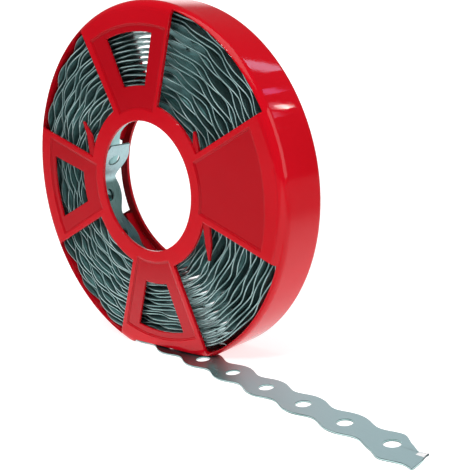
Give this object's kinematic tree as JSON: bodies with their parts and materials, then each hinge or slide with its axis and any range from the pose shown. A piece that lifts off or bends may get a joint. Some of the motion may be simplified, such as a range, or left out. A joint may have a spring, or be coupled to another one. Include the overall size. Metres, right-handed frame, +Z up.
{
  "type": "perforated strap in dispenser",
  "caption": "Wavy-edged perforated steel fixing strap, coiled in a round red plastic dispenser drum with a flat foot; the free end runs out from under the foot along the ground.",
  "frame": {"origin": "on the ground under the drum's axis, half way across the drum's width", "axes": "+Z up, -Y out of the front face along the drum's axis, +X the way the strap's tail runs"},
  "size_m": [0.2478, 0.0635, 0.1622],
  "materials": {
    "front_plastic": "glossy moulded",
    "back_plastic": "glossy moulded",
    "zinc_strap": "galvanised"
  },
  "bodies": {
    "root": {"front_shell": "front_plastic", "back_shell": "back_plastic", "perforated_strap": "zinc_strap", "strap_tail": "zinc_strap"}
  },
  "joints": []
}
